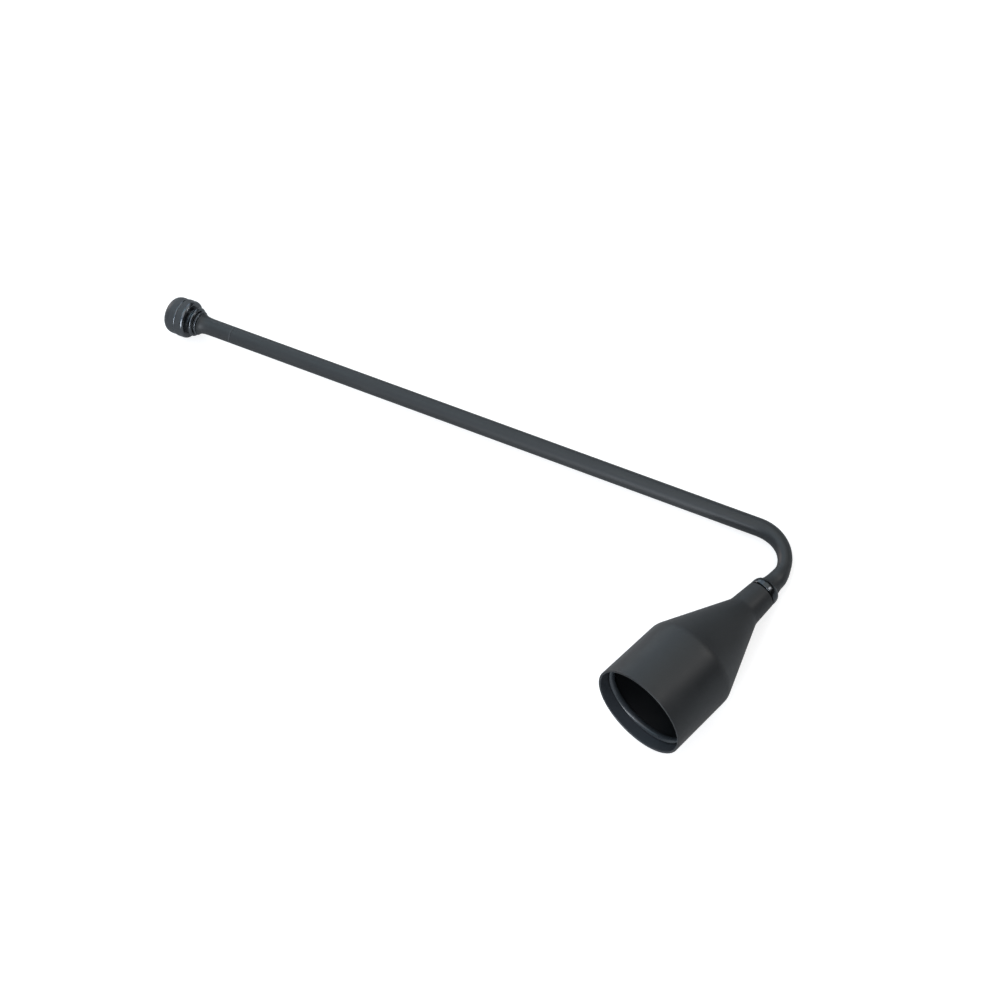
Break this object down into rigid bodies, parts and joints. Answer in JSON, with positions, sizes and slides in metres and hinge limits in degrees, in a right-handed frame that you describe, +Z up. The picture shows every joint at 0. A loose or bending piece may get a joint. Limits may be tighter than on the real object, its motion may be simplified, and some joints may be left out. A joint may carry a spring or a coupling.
{
  "type": "candle snuffer",
  "caption": "Candle snuffer with a long bent rod handle, a turned knob and a hollow conical bell that swivels on the handle.",
  "frame": {"origin": "on the floor under the centre of the bounding box, with the snuffer lying as it comes to rest on its knob, its bend and the shoulder of its bell", "axes": "+X from the knob towards the bell, -Y out of the bell's mouth, which looks 12 degrees upwards, +Z up"},
  "size_m": [0.206, 0.0686, 0.0295],
  "materials": {
    "rod_coat": "matte black powder coat on steel bar",
    "knob_coat": "satin black powder coat on turned steel",
    "collar_coat": "satin black powder coat on turned steel",
    "bell_coat": "matte black powder coat on spun steel",
    "sleeve_coat": "satin black powder coat on spun steel",
    "bush_brass": "plain turned brass",
    "washer_steel": "plain steel",
    "nut_zinc": "zinc plated steel"
  },
  "bodies": {
    "handle": {"handle_rod": "rod_coat", "end_cap": "knob_coat", "knob_band": "knob_coat", "bead_ring_large": "knob_coat", "bead_ring_small": "knob_coat", "ferrule": "rod_coat", "neck_collar": "collar_coat", "thrust_washer": "washer_steel", "retaining_nut": "nut_zinc"},
    "bell": {"bell_shell": "bell_coat", "bell_sleeve": "sleeve_coat", "neck_bush": "bush_brass"}
  },
  "joints": [
    {"name": "bell_swivel", "type": "hinge", "parent": "handle", "child": "bell", "pos_m": [0.08987, 0.01129, 0.00747], "axis": [0, -0.9777, 0.2099], "continuous": true}
  ]
}
